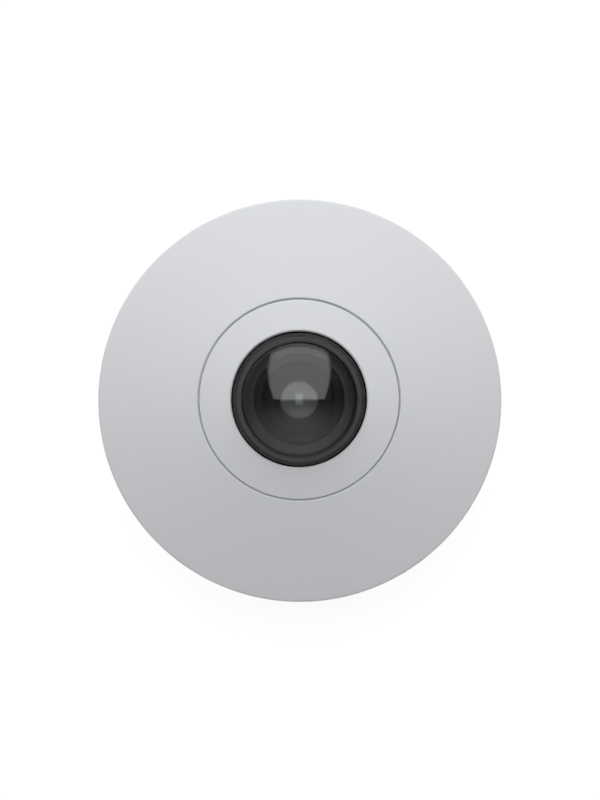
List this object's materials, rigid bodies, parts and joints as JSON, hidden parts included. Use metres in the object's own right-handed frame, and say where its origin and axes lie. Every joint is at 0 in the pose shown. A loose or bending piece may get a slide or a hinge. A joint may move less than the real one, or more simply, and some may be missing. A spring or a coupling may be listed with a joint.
{
  "type": "fisheye ip camera",
  "caption": "Shallow round ceiling camera with a wide-angle lens under a clear dome, a crowned front cover and a twist-on mounting plate with cable hole.",
  "frame": {"origin": "centre of the mounting plate's back face, which meets the ceiling and here rests on the ground", "axes": "+Z along the optical axis, out of the lens; -Y towards the side cable exit; +X to the right of it seen from the front"},
  "size_m": [0.132, 0.132, 0.0429],
  "materials": {
    "casing_plastic": "moulded polycarbonate, fine matte texture",
    "housing_paint": "powder-coated die-cast aluminium, matte",
    "plate_plastic": "moulded glass-filled nylon, matte",
    "clear_dome": "clear polished polycarbonate",
    "lens_glass": "polished coated optical glass",
    "shroud_plastic": "moulded black polycarbonate, satin",
    "barrel_black": "black anodised aluminium",
    "seal_rubber": "moulded silicone, matte",
    "screw_steel": "zinc-plated steel",
    "board_green": "glass-fibre board with solder mask",
    "chip_black": "moulded epoxy",
    "sensor_dark": "silicon under glass",
    "contact_gold": "gold-plated spring contacts",
    "slot_steel": "stamped stainless steel",
    "thermal_gel": "soft thermal pad",
    "ferrite": "sintered ferrite",
    "winding_tape": "polyester tape over copper",
    "copper_wire": "enamelled copper wire",
    "can_aluminium": "drawn aluminium can",
    "flex_film": "polyimide film",
    "connector_ivory": "moulded nylon",
    "filter_glass": "coated filter glass",
    "light_diffuser": "moulded clear epoxy"
  },
  "bodies": {
    "plate": {"mounting_plate": "plate_plastic"},
    "memory_card": {"memory_card": "chip_black"},
    "control_button": {"control_button": "connector_ivory"},
    "filter_carrier": {"filter_carrier": "shroud_plastic", "ir_cut_glass": "filter_glass", "clear_glass": "lens_glass"},
    "filter_rotor": {"filter_rotor": "ferrite"},
    "camera": {"base_housing": "housing_paint", "cable_hatch": "housing_paint", "lock_screw": "screw_steel", "front_cover": "casing_plastic", "cover_screws": "screw_steel", "lens_ring": "casing_plastic", "dome_window": "clear_dome", "dome_seal": "seal_rubber", "lens_shroud": "shroud_plastic", "shroud_screws": "screw_steel", "front_element": "lens_glass", "lens_retainer": "barrel_black", "lens_barrel": "barrel_black", "second_element": "lens_glass", "spacer_ring": "barrel_black", "third_element": "lens_glass", "aperture_stop": "barrel_black", "rear_elements": "lens_glass", "focus_lock_ring": "barrel_black", "lens_holder": "shroud_plastic", "holder_screws": "screw_steel", "filter_frame": "shroud_plastic", "filter_coil": "copper_wire", "image_sensor": "sensor_dark", "sensor_glass": "lens_glass", "sensor_board": "board_green", "sensor_board_screws": "screw_steel", "sensor_connector": "connector_ivory", "flex_cable": "flex_film", "board_connector": "connector_ivory", "main_board": "board_green", "board_screws": "screw_steel", "processor": "chip_black", "thermal_pad": "thermal_gel", "memory_chips": "chip_black", "network_jack": "shroud_plastic", "jack_contacts": "contact_gold", "transformer_core": "ferrite", "transformer_winding": "winding_tape", "capacitors": "can_aluminium", "inductors": "ferrite", "card_slot": "slot_steel", "button_switch": "chip_black", "status_light": "light_diffuser"}
  },
  "joints": [
    {"name": "camera_twist", "type": "hinge", "parent": "plate", "child": "camera", "pos_m": [0, 0, 0.005], "axis": [0, 0, 1], "range_deg": [0, 15]},
    {"name": "card_slide", "type": "slide", "parent": "camera", "child": "memory_card", "axis": [-1, 0, 0], "range_m": [0, 0.012]},
    {"name": "button_press", "type": "slide", "parent": "camera", "child": "control_button", "axis": [0, 0, 1], "range_m": [0, 0.0005], "stiffness_N_per_m": 1000, "springref_m": -0.0002},
    {"name": "rotor_turn", "type": "hinge", "parent": "camera", "child": "filter_rotor", "pos_m": [0, 0.00995, 0.015], "axis": [0, 0, 1], "range_deg": [-90, 0]},
    {"name": "filter_shift", "type": "slide", "parent": "camera", "child": "filter_carrier", "axis": [-1, 0, 0], "range_m": [0, 0.007]}
  ],
  "couplings": [
    {"joint": "rotor_turn", "follows": "filter_shift", "rad_per_m": -224.39}
  ]
}
